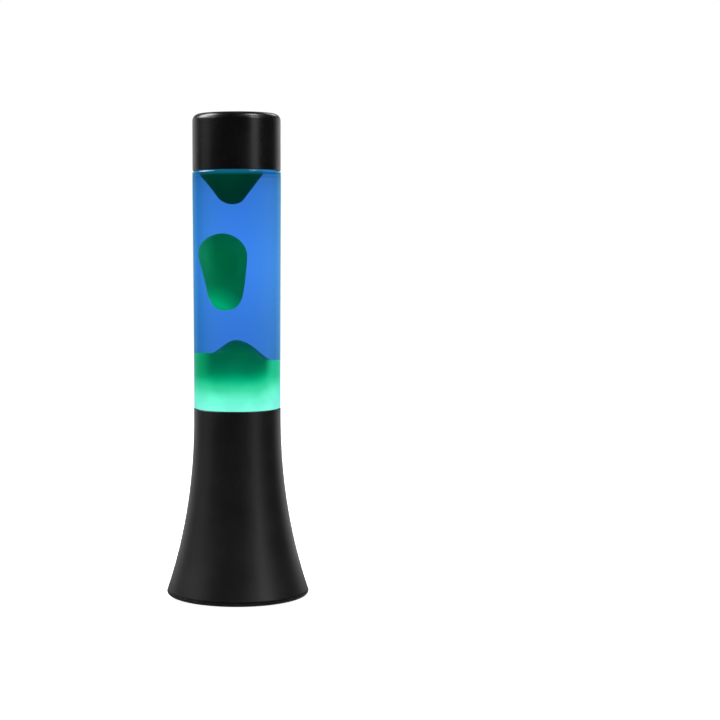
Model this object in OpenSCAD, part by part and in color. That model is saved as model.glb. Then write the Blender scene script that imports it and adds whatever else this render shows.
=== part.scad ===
// Lava lamp: a flared, spun-metal base holds a reflector bulb under a glass cylinder of
// blue liquid and green wax, and a plain round cap covers the cylinder's sealed neck.
// Millimetres, +Z up, origin on the table at the centre of the base.
// The front looks along -Y; the cord hole is at the rear, on +Y.

/* [Overall] */
// Height of the whole lamp
total_h = 364; // [355:1:378]
// Height of the base's collar, where the glass begins
base_h = 143.3; // [138:0.1:145]
// Height of the cap's lower edge
cap_z = 321.8; // [316:0.1:326]

/* [Base shell] */
// Outer radius of the collar
collar_r = 32.85; // [32.7:0.05:34]
// Outer radius of the flare just above the rolled edge
flare_r = 54; // [53:0.1:57]
// How sharply the flare opens toward the table
flare_power = 2.18; // [1.8:0.01:2.4]
// Thickness of the spun sheet
sheet = 1.2; // [0.8:0.1:2]
// Radius of the opening the glass drops into
ledge_r = 29.9; // [29.6:0.1:30.5]
// Depth of the folded hem that carries the glass
hem_h = 5; // [3:0.5:8]
// Gap between the table and the shell's rolled edge
edge_gap = 1.6; // [1:0.1:2]
// Outer radius of the roll itself
roll = 2.3; // [1.8:0.1:2.6]

/* [Bottom plate] */
// Radius of the bottom plate
plate_r = 48.9; // [45:0.1:49.2]
// Thickness of the plate
plate_t = 1.2; // [0.8:0.1:1.6]
// Height of the rubber feet, which lift the plate
foot_h = 2.2; // [1.8:0.1:3]
// Radius of each foot
foot_r = 6; // [4:0.5:8]
// Distance of the feet from the middle
foot_ring = 36; // [30:1:40]
// Number of vent slots in the ring around the middle
vents = 10; // [6:1:14]
// Distance of the plate's screws from the middle
screw_ring = 44.6; // [43:0.1:46]

/* [Cord entry] */
// Height of the cord hole's centre
cord_z = 16; // [12:0.5:22]
// Radius of the grommet's bore, for a 6 mm cord
cord_bore = 3.2; // [2.5:0.1:4]
// Radius of the grommet's flanges
grommet_r = 6.4; // [5.5:0.1:8]

/* [Lamp holder] */
// Height of the bracket's top face
bracket_z = 26; // [22:0.5:30]
// Height of the insulated holder body
holder_h = 36; // [34:0.5:38]
// Outer radius of the holder body
holder_r = 13.4; // [12:0.1:15]

/* [Bulb] */
// Lowest point of the bulb's centre contact
tip_z = 41.5; // [41.5:0.1:43]
// Largest radius of the reflector bulb
bulb_r = 19.5; // [18:0.1:20]
// Height of the bulb's widest ring
bulb_wide_z = 97; // [94:0.5:98]
// Height of the domed front of the bulb
bulb_dome_h = 11.4; // [8:0.1:12]
// Thread pitch of the small screw cap
pitch = 2.82; // [2.82:0.01:2.83]

/* [Glass] */
// Height of the glass cylinder's underside
glass_z = 123.3; // [122:0.1:125]
// Outer radius of the stepped foot inside the collar
glass_foot_r = 29.4; // [29:0.1:29.6]
// Outer radius of the glass just above the base
glass_low_r = 32.65; // [32:0.05:32.8]
// Outer radius of the glass below its shoulder
glass_top_r = 33.2; // [32.9:0.05:33.4]
// Wall thickness
wall = 2.2; // [1.8:0.1:3]
// Radius of the part of the glass the cap slides over
spigot_r = 31.3; // [30.8:0.05:31.35]
// Outer radius of the neck
neck_r = 19; // [17:0.5:22]
// Height of the neck's rim
neck_z = 348.5; // [346:0.5:351]

/* [Liquid and wax] */
// Height of the liquid's surface, hidden under the cap
liquid_z = 331; // [327:0.5:332]
// Level of the wax pool at the glass wall
pool_z = 180.4; // [174:0.1:189]
// Height of the hill in the middle of the pool
hill_h = 12.6; // [5:0.1:20]
// Radius of the hill's foot
hill_r = 20; // [14:0.5:26]
// Lowest point of the floating blob
blob_z = 215.7; // [209:0.1:220]
// Height of the blob
blob_h = 58.9; // [40:0.1:62]
// Half width of the blob
blob_r = 13; // [8:0.1:15]
// Sideways offset of the blob
blob_x = -7; // [-9:0.1:9]
// Lowest point of the wax hanging from the top
hang_z = 297.5; // [294:0.1:304]

/* [Cap] */
// Outer radius of the cap
cap_r = 33.1; // [33:0.05:33.4]
// Thickness of the cap's wall
cap_t = 1.2; // [1:0.05:1.35]
// Rounding of the cap's top edge
cap_round = 5.2; // [3:0.1:8]

/* [Node] */
// Which piece to show

/* [Hidden] */
$fn = 96;

// shared gaps
touch = 0.05;               // between pieces that meet inside the sealed glass
slip = 0.3;                 // around the blob, which drifts through the liquid
screw_gap = 0.05;           // between a screw's shank and its hole

// flare of the base shell
roll_z = edge_gap + roll;   // height at which flare_r is measured
flare_top = base_h - 1.85;  // above this the collar is straight
flare_span = flare_top - roll_z;
edge_in = 49.4;             // inner radius of the rolled edge
rim_round = 0.7;            // rounding of the collar's top edge

function flare_u(z) = max(0, (flare_top - z) / flare_span);
function flare(z) = collar_r + (flare_r - collar_r) * pow(flare_u(z), flare_power);
function flare_slope(z) =
    -(flare_r - collar_r) * flare_power / flare_span * pow(flare_u(z), flare_power - 1);
// point on the flare at height z, moved inward along the surface normal by d
function flare_pt(z, d) = let (s = flare_slope(z), n = sqrt(1 + s * s))
    [flare(z) - d / n, z + d * s / n];
function arc(x, z, r, from, to, n) =
    [for (i = [0:n]) let (a = from + (to - from) * i / n) [x + r * cos(a), z + r * sin(a)]];
function lerp(a, b, t) = a + (b - a) * t;

// plate and its fixings
plate_z = foot_h;
plate_top = plate_z + plate_t;
tab_t = 1.5;
tab_w = 11;
tab_h = 9;
tab_in = 40;
tab_angles = [30, 150, 270];
foot_angles = [45, 135, 225, 315];
screw_r = 1.5;
head_r = 2.7;
head_h = 1.5;
vent_in = 14;
vent_out = 21;
vent_w = 3;

// grommet
cord_tilt = atan(-flare_slope(cord_z));
cord_r = flare(cord_z);
grommet_neck = 4.8;
grommet_hole = 4.9;
grommet_flange = 1.8;
grommet_grip = sheet + 0.6; // the wall plus its curvature across the flange

// bracket
strap = 1.5;
strap_w = 15;
leg_x = 18;
bracket_foot = 12;
bracket_screw_x = 25;
nut_flats_r = 3.18;         // corner radius of an M3 nut
nut_h = 2.4;

// holder
nipple_r = 5;
nipple_bore = 3.7;
nipple_low = bracket_z - 7;
nipple_high = bracket_z + 5.5;
chamber_r = 9.8;
chamber_z = bracket_z + 2.5;
partition_z = 36;
partition_top = 39;
sleeve_out = 7.6;
sleeve_bore = 7.75;
sleeve_z = 44.5;
sleeve_top = 60.5;
holder_top = bracket_z + holder_h;
tag_w = 3;
tag_x = 7.05;
lead_r = 1;
lead_x = 1.7;
rivet_r = 1.2;
contact_w = 4;

// bulb
thread_mid = 6.55;          // mean radius of the small screw thread
thread_off = 0.4;           // half its depth
thread_gap = 0.18;          // extra radius in the holder's sleeve
thread_fn = 24;
thread_steps = 8;           // steps per turn
shell_z = 46;               // start of the threaded shell
shell_top = 62.8;
skirt_z = 66.6;
skirt_r = 8.5;
skirt_neck = 6;             // just inside the root of the thread
shell_in = 5.7;
contact_r = 2.4;
contact_gap = 0.06;
bulb_wall = 0.8;
bulb_neck_r = 7.5;
bulb_neck_z = 71;
seal_z = 64.2;
stem_top = 79;
filament_z = 90;
filament_ring = 4.6;

// terminal block
block_x = 20;
block_y = 10;
block_h = 10.5;
block_at = 23;              // distance of its front face from the middle
block_bore = 1.35;
block_bore_z = plate_top + 5;
block_lead_x = 5;
well_r = 1.75;
well_y = 2.4;

// glass
shoulder_round = 1.8;
heel_round = 2.5;
floor_t = 2.6;
seat_round = 0.8;
ledge_gap = 0.02;           // the glass rests on the collar
seat_z = base_h + ledge_gap;
shoulder_z = cap_z - 0.05;  // the cap rests on this step
dome_z = cap_z + 6.8;       // where the shoulder starts to turn in
dome_r = 7.2;
neck_low = cap_z + 16.7;
full_z = cap_z - 18;         // from here up the cylinder has its full radius
in_r = glass_low_r - wall;
in_top = glass_top_r - wall;
foot_in = glass_foot_r - wall;
floor_z = glass_z + floor_t;

// lid and liner
liner_t = 1.4;
lid_t = 0.8;
lid_r = 20.4;
lid_low = neck_z - 8;

// coil
coil_ring = 19.5;
coil_r = 2.3;
coil_wire = 0.45;
coil_loops = 26;
coil_steps = 8;             // sections in each loop
coil_sides = 5;
coil_z = floor_z + coil_r + coil_wire + 0.1;
coil_room = 3;              // radius of the channel kept in the wax

steel = [0.70, 0.71, 0.72];
black = [0.03, 0.03, 0.035];
brass = [0.80, 0.62, 0.28];
green = [0.03, 0.52, 0.36];

module spin(points) rotate_extrude() polygon(points);
// volume inside the shell, d further in than its inner face, up to height top
module inside(d, top) spin(concat(
    [[0, roll_z], [flare(roll_z) - sheet - d, roll_z]],
    [for (i = [1:24]) flare_pt(lerp(roll_z, top, i / 24), sheet + d)],
    [[0, flare_pt(top, sheet + d)[1]]]));
module pan_screw(length) {
    spin([[0, 0], [head_r - 0.5, 0], [head_r, 0.6], [head_r, head_h], [0, head_h]]);
    translate([0, 0, head_h]) cylinder(r = screw_r, h = length);
}
module hex_nut(corner_r, h, hole) difference() {
    cylinder(r = corner_r, h = h, $fn = 6);
    translate([0, 0, -1]) cylinder(r = hole, h = h + 2);
}
// a round wire through a list of points, with ball corners a little thicker than the wire
module wire(points, r) {
    for (i = [0:len(points) - 2]) {
        d = points[i + 1] - points[i];
        l = norm(d);
        translate(points[i])
            rotate([0, acos(d[2] / l), atan2(d[1], d[0])]) cylinder(r = r, h = l, $fn = 32);
        if (i > 0) translate(points[i]) sphere(r = r * 1.06, $fn = 32);
    }
}
// right-hand thread: a circle set off centre that circles the axis once per pitch, in step with z
function thread_ring(z, r) = let (a = 360 * z / pitch) [for (k = [0:thread_fn - 1])
    let (b = 360 * k / thread_fn)
    [thread_off * cos(a) + r * cos(b), thread_off * sin(a) + r * sin(b), z]];
module thread_body(z0, z1, r) {
    n = round((z1 - z0) / pitch * thread_steps);
    ring = [for (k = [0:thread_fn - 1]) k];
    polyhedron(
        points = [for (i = [0:n]) each thread_ring(lerp(z0, z1, i / n), r)],
        faces = concat(
            [ring], [[for (k = ring) (n + 1) * thread_fn - 1 - k]],
            [for (i = [0:n - 1], k = ring)
                let (m = (k + 1) % thread_fn, low = i * thread_fn, up = low + thread_fn)
                each [[low + k, up + k, up + m], [low + k, up + m, low + m]]]));
}

module base_shell() color(black) difference() {
    spin(concat(
        [[edge_in, edge_gap], [flare(roll_z) - roll, edge_gap]],
        arc(flare(roll_z) - roll, roll_z, roll, -75, -15, 4),
        [for (i = [0:40]) [flare(lerp(roll_z, flare_top, i / 40)),
            lerp(roll_z, flare_top, i / 40)]],
        arc(collar_r - rim_round, base_h - rim_round, rim_round, 0, 90, 5),
        arc(ledge_r + rim_round, base_h - rim_round, rim_round, 90, 180, 5),
        [[ledge_r, base_h - hem_h], [collar_r - sheet, base_h - hem_h]],
        [for (i = [32:-1:0]) flare_pt(lerp(roll_z + 0.4, base_h - hem_h - 2, i / 32), sheet)],
        [[flare(roll_z) - roll, edge_gap + sheet], [edge_in, edge_gap + sheet]]));
    cord_axis() cylinder(r = grommet_hole, h = 20, center = true);
}
// puts its children on the cord hole, with their Z along the wall's outward normal
module cord_axis()
    translate([0, cord_r, cord_z]) rotate([cord_tilt - 90, 0, 0]) children();

module shell_tabs() color(steel) for (a = tab_angles) rotate([0, 0, a]) difference() {
    intersection() {
        inside(0.06, 60);
        translate([tab_in, -tab_w / 2, plate_top]) union() {
            cube([20, tab_w, tab_t]);
            cube([20, tab_w, tab_h]);
        }
    }
    difference() {
        translate([tab_in - 1, -tab_w / 2 - 1, plate_top + tab_t])
            cube([20, tab_w + 2, tab_h]);
        translate([0, 0, -1]) difference() {
            cylinder(r = 80, h = 80);
            translate([0, 0, 1]) inside(tab_t, 60);
        }
    }
    translate([screw_ring, 0, 0]) cylinder(r = screw_r + screw_gap, h = 20);
}

module bottom_plate() color(steel) difference() {
    translate([0, 0, plate_z]) cylinder(r = plate_r, h = plate_t);
    for (a = tab_angles) rotate([0, 0, a]) translate([screw_ring, 0, 0])
        cylinder(r = screw_r + 0.2, h = 20);
    for (s = [-1, 1]) translate([s * bracket_screw_x, 0, 0])
        cylinder(r = screw_r + 0.2, h = 20);
    translate([0, block_at + block_y / 2, 0]) cylinder(r = screw_r + screw_gap, h = 20);
    for (i = [0:vents - 1]) rotate([0, 0, 18 + i * 360 / vents]) {
        translate([vent_in, -vent_w / 2, 0]) cube([vent_out - vent_in, vent_w, 20]);
        for (x = [vent_in, vent_out]) translate([x, 0, 0]) cylinder(r = vent_w / 2, h = 20);
    }
}

module rubber_feet() color([0.08, 0.08, 0.08])
    for (a = foot_angles) rotate([0, 0, a]) translate([foot_ring, 0, 0])
        spin([[0, 0], [foot_r - 0.6, 0], [foot_r, 0.5], [foot_r, foot_h], [0, foot_h]]);

module plate_screws() color(steel)
    for (a = tab_angles) rotate([0, 0, a])
        translate([screw_ring, 0, plate_z - head_h]) pan_screw(6);

module cord_grommet() color([0.06, 0.06, 0.06]) cord_axis() spin([
    [cord_bore, grommet_flange], [grommet_r - 0.8, grommet_flange], [grommet_r, 0.8],
    [grommet_r, 0.05], [grommet_neck, 0.05], [grommet_neck, -grommet_grip],
    [grommet_r - 0.2, -grommet_grip], [grommet_r - 0.2, -grommet_grip - 0.9],
    [grommet_r - 0.9, -grommet_grip - grommet_flange], [cord_bore, -grommet_grip - grommet_flange]]);

module lampholder_bracket() color(steel) difference() {
    union() {
        translate([-leg_x - strap, -strap_w / 2, bracket_z - strap])
            cube([2 * (leg_x + strap), strap_w, strap]);
        for (s = [0, 1]) mirror([s, 0, 0]) {
            translate([leg_x, -strap_w / 2, plate_top])
                cube([strap, strap_w, bracket_z - plate_top]);
            translate([leg_x, -strap_w / 2, plate_top]) cube([bracket_foot, strap_w, strap]);
        }
    }
    cylinder(r = nipple_r + 0.1, h = 60);
    for (s = [-1, 1]) translate([s * bracket_screw_x, 0, 0])
        cylinder(r = screw_r + 0.2, h = plate_top + 5);
}

module bracket_screws() color(steel) for (s = [-1, 1])
    translate([s * bracket_screw_x, 0, plate_z - head_h]) pan_screw(6.5);

module bracket_nuts() color(steel) for (s = [-1, 1])
    translate([s * bracket_screw_x, 0, plate_top + strap])
        hex_nut(nut_flats_r, nut_h, screw_r + screw_gap);

module holder_nipple() color(brass) translate([0, 0, nipple_low]) difference() {
    cylinder(r = nipple_r, h = nipple_high - nipple_low);
    translate([0, 0, -1]) cylinder(r = nipple_bore, h = 30);
}

module nipple_nut() color(brass)
    translate([0, 0, bracket_z - strap - 3]) hex_nut(8.1, 3, nipple_r + screw_gap);

module lampholder_body() color([0.85, 0.83, 0.78]) difference() {
    spin(concat(
        [[nipple_r + screw_gap, bracket_z], [holder_r - 0.6, bracket_z],
        [holder_r, bracket_z + 0.6], [holder_r, partition_top + 3],
        [holder_r - 1.6, partition_top + 5]],
        arc(holder_r - 2.8, holder_top - 1.2, 1.2, 0, 90, 5),
        [[sleeve_bore + 0.8, holder_top], [sleeve_bore, holder_top - 0.8],
        [sleeve_bore, partition_top], [0, partition_top], [0, partition_z],
        [chamber_r, partition_z], [chamber_r, chamber_z],
        [nipple_r + screw_gap, chamber_z]]));
    translate([-lead_x, 0, 0]) cylinder(r = rivet_r + screw_gap, h = 60);
    translate([tag_x - 0.15, -tag_w / 2 - 0.15, 30])
        cube([sleeve_bore - tag_x + 0.14, tag_w + 0.3, 12]);
}

module lampholder_sleeve() color(brass) {
    difference() {
        translate([0, 0, sleeve_z]) cylinder(r = sleeve_out, h = sleeve_top - sleeve_z);
        thread_body(sleeve_z - pitch, sleeve_top + pitch, thread_mid + thread_gap);
    }
    translate([tag_x, -tag_w / 2, 33]) cube([0.45, tag_w, sleeve_z - 32.5]);
}

module lampholder_contact() color(brass) {
    translate([0, contact_w / 2, partition_top]) rotate([90, 0, 0])
        linear_extrude(height = contact_w) polygon([[-5.4, 0], [4, 0], [4.5, 0.5],
            [4.1, 1], [-1.6, 2.4], [-2.6, 2], [-1.6, 1.95], [3.5, 0.45], [-5.4, 0.4]]);
    translate([-lead_x, 0, partition_z - 3]) cylinder(r = rivet_r, h = 6.2);
}

module terminal_block() color([0.88, 0.87, 0.82])
    translate([0, block_at, plate_top]) difference() {
        translate([-block_x / 2, 0, 0]) cube([block_x, block_y, block_h]);
        for (s = [-1, 1]) translate([s * block_lead_x, 0, 0]) {
            translate([0, -1, block_bore_z - plate_top]) rotate([-90, 0, 0])
                cylinder(r = block_bore, h = block_y + 2);
            for (y = [well_y, block_y - well_y]) translate([0, y, block_bore_z - plate_top])
                cylinder(r = well_r, h = 20);
        }
        translate([0, block_y / 2, -1]) cylinder(r = screw_r + screw_gap, h = 30);
        translate([0, block_y / 2, block_h - 2]) cylinder(r = head_r + 0.2, h = 5);
    }

module terminal_screws() color(steel) for (s = [-1, 1], y = [well_y, block_y - well_y])
    translate([s * block_lead_x, block_at + y, block_bore_z + lead_r + 0.05]) difference() {
        cylinder(r = well_r - 0.05, h = 3.6);
        translate([-0.3, -3, 2.8]) cube([0.6, 6, 2]);
    }

module block_screw() color(steel)
    translate([0, block_at + block_y / 2, plate_top + block_h - 2 + head_h])
        mirror([0, 0, 1]) pan_screw(block_h + plate_t - 1.6);

module lead_live() color([0.45, 0.24, 0.10]) wire([
    [-block_lead_x, block_at + 8, block_bore_z], [-block_lead_x, block_at - 6, block_bore_z],
    [-lead_x, 3, 11.5], [-lead_x, 0, 16], [-lead_x, 0, partition_z - 3]], lead_r);

module lead_neutral() color([0.12, 0.30, 0.62]) wire([
    [block_lead_x, block_at + 8, block_bore_z], [block_lead_x, block_at - 6, block_bore_z],
    [lead_x, 3, 11.5], [lead_x, 0, 16], [lead_x, 0, 32.5],
    [tag_x - lead_r - 0.25, 0, 34.3]], lead_r);

module bulb_contact() color(steel) translate([0, 0, tip_z])
    spin([[0, 0], [1.2, 0.15], [2, 0.55], [contact_r, 1.1], [contact_r, 2.4], [0, 2.4]]);

module bulb_insulator() color([0.05, 0.04, 0.06]) spin([
    [contact_r + contact_gap, tip_z + 1.2], [3.4, tip_z + 1.2], [4, tip_z + 1.6],
    [shell_in, shell_z], [shell_in - 0.02, shell_z + 1.6],
    [contact_r + contact_gap, shell_z + 1.6]]);

module bulb_cap() color([0.78, 0.78, 0.76]) {
    difference() {
        thread_body(shell_z, shell_top, thread_mid);
        translate([0, 0, shell_z - 1]) cylinder(r = shell_in, h = 30);
    }
    spin([[shell_in, shell_top - 1], [skirt_neck, shell_top - 1],
        [skirt_neck, shell_top + 0.6], [skirt_r, skirt_z - 1.6],
        [skirt_r, skirt_z], [skirt_r - 0.5, skirt_z], [skirt_r - 0.5, skirt_z - 1.4],
        [shell_in, shell_top + 1]]);
}

// the reflector's half profile, moved in by d
function bulb_curve(d) = concat(
    [for (i = [0:16]) let (t = i / 16)
        [lerp(bulb_neck_r, bulb_r, pow(sin(90 * t), 1.25)) - d,
        lerp(bulb_neck_z, bulb_wide_z, t)]],
    [for (i = [1:14]) let (a = 90 * i / 14)
        [(bulb_r - d) * cos(a), bulb_wide_z + (bulb_dome_h - d) * sin(a)]]);

module bulb_glass() color([0.85, 0.85, 0.86]) spin(concat(
    [[bulb_neck_r - bulb_wall - 1.1, seal_z], [bulb_neck_r - 1.2, seal_z + 0.1],
    [bulb_neck_r, seal_z + 2.2]],
    bulb_curve(0),
    [for (i = [30:-1:0]) bulb_curve(bulb_wall)[i]],
    [[bulb_neck_r - bulb_wall, seal_z + 2.6]]));

module bulb_stem() color([0.80, 0.84, 0.85]) spin([
    [0, 58], [1.4, 58], [1.4, seal_z - 1], [4.6, seal_z - 0.6], [5.5, seal_z],
    [5.5, seal_z + 0.8], [4.4, seal_z + 1.6], [2.4, seal_z + 3.5], [2, stem_top - 4],
    [1.5, stem_top], [0, stem_top]]);

module filament_supports() color(steel) for (s = [-1, 1])
    wire([[s * 0.9, 0, stem_top + 0.25], [s * filament_ring, 0, stem_top + 5],
        [s * filament_ring, 0, filament_z - 0.45]], 0.35);

module bulb_filament() color([0.5, 0.5, 0.5]) translate([0, 0, filament_z])
    rotate_extrude(angle = 180) translate([filament_ring, 0]) circle(r = 0.45, $fn = 24);

// outer radius of the glass cylinder: it widens slightly toward its shoulder
function glass_r(z) = lerp(glass_low_r, glass_top_r,
    pow(max(0, min(1, (z - seat_z) / (full_z - seat_z))), 1.8));

module glass_bottle() color([0.85, 0.93, 0.97, 0.35]) spin(concat(
    [[0, glass_z]],
    arc(glass_foot_r - heel_round, glass_z + heel_round, heel_round, -90, 0, 6),
    [[glass_foot_r, seat_z - 0.6], [glass_foot_r + 0.6, seat_z]],
    arc(glass_low_r - seat_round, seat_z + seat_round, seat_round, -90, 0, 5),
    [for (i = [1:20]) let (z = lerp(seat_z + seat_round, full_z, i / 20)) [glass_r(z), z]],
    arc(glass_top_r - shoulder_round, shoulder_z - shoulder_round, shoulder_round, 0, 90, 7),
    [[spigot_r, shoulder_z]],
    arc(spigot_r - dome_r, dome_z, dome_r, 0, 84, 9),
    [[neck_r + 1.6, neck_low - 1.9], [neck_r + 0.4, neck_low - 1.1], [neck_r, neck_low],
    [neck_r, neck_z - 0.6], [neck_r - 0.6, neck_z], [neck_r - wall, neck_z]],
    [for (p = cavity_wall()) p],
    [[0, floor_z]]));

// the inside of the glass from the neck down to the floor
function cavity_wall() = concat(
    [[neck_r - wall, neck_low - 1.6], [neck_r - wall + 1.2, neck_low - 3.4]],
    arc(spigot_r - dome_r, dome_z, dome_r - wall, 84, 0, 8),
    [[spigot_r - wall, shoulder_z - 3], [in_top - 0.9, shoulder_z - 5.5],
    [in_top, shoulder_z - 9]],
    [for (i = [16:-1:1]) let (z = lerp(seat_z + 5, full_z, i / 16)) [glass_r(z) - wall, z]],
    [[in_r, seat_z + 4], [in_r - 0.9, seat_z + 1.6], [foot_in + 0.5, seat_z - 2],
    [foot_in, seat_z - 4]],
    arc(foot_in - heel_round, floor_z + heel_round, heel_round, 0, -90, 6));

// everything inside the glass below height z, d clear of the wall
module cavity(d, z) intersection() {
    spin(concat([[0, neck_z]], [for (p = cavity_wall()) [p[0] - d, p[1]]],
        [[0, floor_z + d]]));
    translate([0, 0, floor_z + d]) cylinder(r = 60, h = z - floor_z - d);
}

// height of the pool above the flat floor: a rounded hill in the middle
module pool_solid(d) {
    cavity(touch, pool_z + d);
    translate([0, 0, pool_z - 1 + d]) spin(concat([[0, 0], [hill_r, 0]],
        [for (i = [0:16]) let (x = 1 - i / 16)
            [hill_r * x, 1 + hill_h * (1 + cos(180 * x)) / 2]]));
}

// one wire wound as a long spring and bent into a ring
coil_n = coil_loops * coil_steps;
function coil_mid(i) = let (a = 360 * i / coil_n, b = 360 * i / coil_steps,
    r = coil_ring + coil_r * cos(b)) [r * cos(a), r * sin(a), coil_z + coil_r * sin(b)];
function coil_pt(i, k) = let (
    c = coil_mid(i), d = coil_mid(i + 1) - coil_mid(i - 1), a = 360 * i / coil_n,
    out = c - [coil_ring * cos(a), coil_ring * sin(a), coil_z],
    side = cross(d, out), w = 360 * k / coil_sides)
    c + coil_wire * (cos(w) * out / norm(out) + sin(w) * side / norm(side));

module heating_coil() color(steel) polyhedron(
    points = [for (i = [0:coil_n - 1], k = [0:coil_sides - 1]) coil_pt(i, k)],
    faces = [for (i = [0:coil_n - 1], k = [0:coil_sides - 1], h = [0, 1])
        let (j = (i + 1) % coil_n, m = (k + 1) % coil_sides,
            a = i * coil_sides + k, b = i * coil_sides + m,
            c = j * coil_sides + m, e = j * coil_sides + k)
        h == 0 ? [a, b, c] : [a, c, e]]);

module wax_pool() color(green) difference() {
    pool_solid(0);
    rotate_extrude() translate([coil_ring, 0]) {
        translate([0, coil_z]) circle(r = coil_room);
        translate([-coil_room, floor_z - 1]) square([2 * coil_room, coil_z - floor_z + 1]);
    }
}

// egg-shaped blob, grown by d
module blob_solid(d) translate([blob_x, 0, blob_z + blob_h / 2]) spin(
    [for (i = [0:32]) let (a = 180 * i / 32)
        [i == 0 || i == 32 ? 0 : (blob_r + d) * pow(sin(a), 0.75) * (1 - 0.2 * cos(a)),
        -(blob_h / 2 + d) * cos(a)]]);

module wax_blob() color(green) blob_solid(0);

// wax that hangs from the surface of the liquid in one drop, grown by d
hang_top_r = 26;
module hang_solid(d) translate([-2.2, 0, hang_z - d]) spin(concat(
    [for (i = [0:18]) let (t = i / 18)
        [(hang_top_r + d) * (0.52 * sqrt(t) + 0.48 * t * t),
        t * (liquid_z - touch - hang_z + d)]],
    [[0, liquid_z - touch - hang_z + d]]));

module wax_top() color(green) hang_solid(0);

module liquid() color([0.05, 0.45, 0.85, 0.45]) difference() {
    cavity(touch, liquid_z);
    translate([0, 0, floor_z - 5]) cylinder(r = 60, h = pool_z + touch - floor_z + 5);
    pool_solid(touch);
    blob_solid(slip);
    hang_solid(touch);
}

module bottle_lid() color(steel) spin([
    [neck_r + 0.05, lid_low + 0.3], [neck_r + 0.3, lid_low], [lid_r, lid_low],
    [lid_r, lid_low + 0.8], [lid_r - 0.6, lid_low + 1.6],
    [lid_r - 0.6, neck_z + liner_t + lid_t - 1], [lid_r - 1.6, neck_z + liner_t + lid_t],
    [0, neck_z + liner_t + lid_t], [0, neck_z + liner_t],
    [neck_r + 0.05, neck_z + liner_t]]);

module lid_liner() color([0.85, 0.85, 0.82])
    translate([0, 0, neck_z]) cylinder(r = neck_r - 0.1, h = liner_t);

module top_cap() color(black) spin(concat(
    [[cap_r - cap_t, cap_z], [cap_r - 0.3, cap_z], [cap_r, cap_z + 0.3]],
    arc(cap_r - cap_round, total_h - cap_round, cap_round, 0, 90, 12),
    [[0, total_h], [0, total_h - cap_t]],
    arc(cap_r - cap_round, total_h - cap_round, cap_round - cap_t, 90, 0, 8)));

base_shell();
shell_tabs();
bottom_plate();
rubber_feet();
plate_screws();
cord_grommet();
lampholder_bracket();
bracket_screws();
bracket_nuts();
holder_nipple();
nipple_nut();
lampholder_body();
lampholder_sleeve();
lampholder_contact();
terminal_block();
terminal_screws();
block_screw();
lead_live();
lead_neutral();
bulb_contact();
bulb_cap();
bulb_insulator();
bulb_glass();
bulb_stem();
filament_supports();
bulb_filament();
glass_bottle();
heating_coil();
wax_pool();
wax_blob();
wax_top();
liquid();
bottle_lid();
lid_liner();
top_cap();
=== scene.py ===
"""Looks of the lava lamp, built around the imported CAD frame. Metres, +Z up, front along -Y.

The profiles below are in millimetres and repeat the shapes of part.scad; ring_at() turns them
into metres. The base, the bottle with its liquid, wax and heating coil, and the cap are rebuilt
with smooth, closely spaced meshes that stand for their CAD nodes. The bulb, the fittings inside
and under the base and the bottle's closure keep their CAD shape and get a finish.
"""

import math

import bmesh
import bpy
from mathutils import Matrix, Vector, noise

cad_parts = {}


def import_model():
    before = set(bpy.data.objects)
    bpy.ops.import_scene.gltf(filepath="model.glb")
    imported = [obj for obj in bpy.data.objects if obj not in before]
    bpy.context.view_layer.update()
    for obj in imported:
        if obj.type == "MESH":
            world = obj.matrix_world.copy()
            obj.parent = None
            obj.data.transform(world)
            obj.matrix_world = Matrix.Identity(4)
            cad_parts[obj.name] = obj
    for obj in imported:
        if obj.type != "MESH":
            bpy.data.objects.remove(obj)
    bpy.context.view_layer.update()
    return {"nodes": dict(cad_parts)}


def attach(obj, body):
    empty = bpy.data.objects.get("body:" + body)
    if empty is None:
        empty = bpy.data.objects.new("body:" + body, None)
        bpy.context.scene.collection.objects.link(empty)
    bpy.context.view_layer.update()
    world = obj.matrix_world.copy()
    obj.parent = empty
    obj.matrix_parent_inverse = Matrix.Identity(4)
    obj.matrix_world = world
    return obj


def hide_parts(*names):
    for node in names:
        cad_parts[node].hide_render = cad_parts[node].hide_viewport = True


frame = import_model()
nodes = frame["nodes"]
MM = 0.001

# ---------------------------------------------------------------- camera

CAMERA_DISTANCE, CAMERA_HEIGHT = 1.26, 0.2715
PITCH_DOWN, YAW_RIGHT, ROLL_RIGHT = 4.18, 0.79, 0.12  # degrees
SENSOR_WIDTH, FOCAL_LENGTH = 36, 83.5  # millimetres
SHIFT_X = 0.139  # share of the picture's width
CLIP_START, CLIP_END = 0.05, 60

camera = bpy.data.objects.new("camera", bpy.data.cameras.new("camera"))
bpy.context.collection.objects.link(camera)
camera.location = (0, -CAMERA_DISTANCE, CAMERA_HEIGHT)
camera.rotation_euler = [math.radians(a) for a in (90 - PITCH_DOWN, ROLL_RIGHT, -YAW_RIGHT)]
camera.data.sensor_width = SENSOR_WIDTH
camera.data.lens = FOCAL_LENGTH
camera.data.shift_x = SHIFT_X
camera.data.clip_start = CLIP_START
camera.data.clip_end = CLIP_END
bpy.context.scene.camera = camera

# ---------------------------------------------------------------- mesh helpers

SEGMENTS = 192  # round the lamp
SHARP_ANGLE = 35  # degrees, from which an edge is shaded as sharp
WELD = 1e-7  # metres, within which vertices are joined
TINY = 1e-6


def arc(x, z, r, start, end, steps):
    """Points on a circle in the (radius, height) plane, angles in degrees."""
    out = []
    for i in range(steps + 1):
        a = math.radians(start + (end - start) * i / steps)
        out.append((x + r * math.cos(a), z + r * math.sin(a)))
    return out


def lerp(a, b, t):
    return a + (b - a) * t


def heights(low, high, steps):
    return [lerp(low, high, i / steps) for i in range(steps + 1)]


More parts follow.
